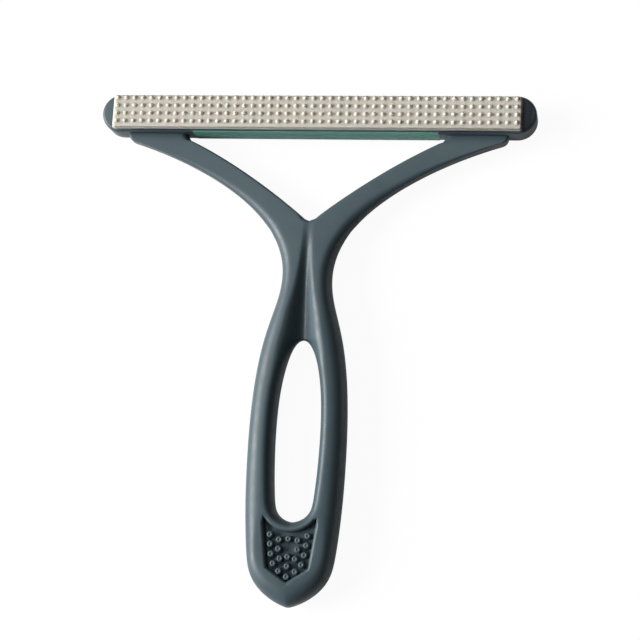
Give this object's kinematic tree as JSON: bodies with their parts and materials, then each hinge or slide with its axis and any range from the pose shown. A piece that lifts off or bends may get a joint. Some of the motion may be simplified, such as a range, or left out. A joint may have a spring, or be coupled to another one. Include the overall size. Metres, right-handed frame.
{
  "type": "pet hair removal brush",
  "caption": "Double-sided hand brush with a long nubbed head on a Y-shaped frame and a looped handle with a pegged thumb pocket.",
  "frame": {"origin": "centre of the brush's box on the resting plane, under its back", "axes": "+X along the head, +Y from the handle to the head, +Z out of the nubbed front"},
  "size_m": [0.166, 0.1906, 0.0165],
  "materials": {
    "slate_plastic": "fine satin moulded surface",
    "cream_silicone": "matte moulded silicone",
    "teal_silicone": "matte moulded silicone"
  },
  "bodies": {
    "root": {"handle_frame": "slate_plastic", "front_pad": "cream_silicone", "rear_pad": "teal_silicone"}
  },
  "joints": []
}
